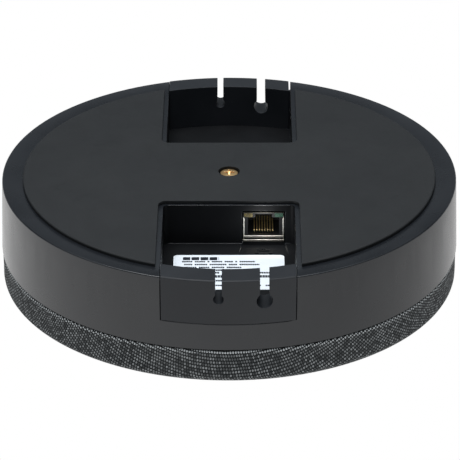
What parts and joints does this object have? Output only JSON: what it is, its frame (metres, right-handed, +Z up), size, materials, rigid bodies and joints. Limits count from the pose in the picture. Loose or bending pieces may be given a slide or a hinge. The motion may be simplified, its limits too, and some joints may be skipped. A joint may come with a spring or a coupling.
{
  "type": "conference table microphone",
  "caption": "Low round table microphone with a fabric top, a flared side wall, a rubber pad and two cable pockets closed by slotted doors on its underside.",
  "frame": {"origin": "centre of the rubber pad's resting face, on the table", "axes": "+Z up towards the fabric top, -Y towards the pocket with the network jack"},
  "size_m": [0.178, 0.178, 0.0448],
  "materials": {
    "housing_plastic": "satin",
    "pad_rubber": "fine matt grain",
    "screw_brass": "plain",
    "label_film": "satin",
    "jack_metal": "tinned",
    "black_plastic": "matt",
    "contact_gold": "polished",
    "lamp_yellow": "clear",
    "lamp_green": "clear",
    "board_laminate": "satin",
    "bright_steel": "plain",
    "coil_tape": "satin",
    "can_aluminium": "satin",
    "ivory_plastic": "matt",
    "lamp_clear": "clear",
    "light_diffuser": "frosted",
    "button_plastic": "satin",
    "boot_rubber": "matt",
    "lead_cover": "satin",
    "acoustic_fabric": "open twill weave",
    "ballast_steel": "matt"
  },
  "bodies": {
    "housing": {"base_shell": "housing_plastic", "rubber_pad": "pad_rubber", "centre_screw": "screw_brass", "centre_insert": "screw_brass", "rating_label": "label_film", "jack_shell": "jack_metal", "jack_insert": "black_plastic", "board_chips": "black_plastic", "switch_body": "black_plastic", "grille_frame": "black_plastic", "jack_contacts": "contact_gold", "jack_lamp_yellow": "lamp_yellow", "jack_lamp_green": "lamp_green", "main_board": "board_laminate", "top_board": "board_laminate", "board_screws": "bright_steel", "top_board_screws": "bright_steel", "housing_screws": "bright_steel", "screening_can": "bright_steel", "power_transformer": "coil_tape", "capacitors": "can_aluminium", "mic_capsules": "can_aluminium", "lower_socket": "ivory_plastic", "upper_socket": "ivory_plastic", "flat_cable": "ivory_plastic", "status_lamps": "lamp_clear", "light_ring": "light_diffuser", "mic_boots": "boot_rubber", "seam_ring": "boot_rubber", "capsule_leads": "lead_cover", "fabric_cover": "acoustic_fabric", "ballast_plate": "ballast_steel"},
    "front_door": {"cable_door_front": "housing_plastic"},
    "rear_door": {"cable_door_rear": "housing_plastic"},
    "mute_key": {"mute_button": "button_plastic", "switch_plunger": "ivory_plastic"}
  },
  "joints": [
    {"name": "front_door_slide", "type": "slide", "parent": "housing", "child": "front_door", "axis": [0, 0, -1], "range_m": [0, 0.022]},
    {"name": "rear_door_slide", "type": "slide", "parent": "housing", "child": "rear_door", "axis": [0, 0, -1], "range_m": [0, 0.022]},
    {"name": "mute_press", "type": "slide", "parent": "housing", "child": "mute_key", "axis": [0, 0, -1], "range_m": [0, 0.0006], "stiffness_N_per_m": 3000}
  ]
}
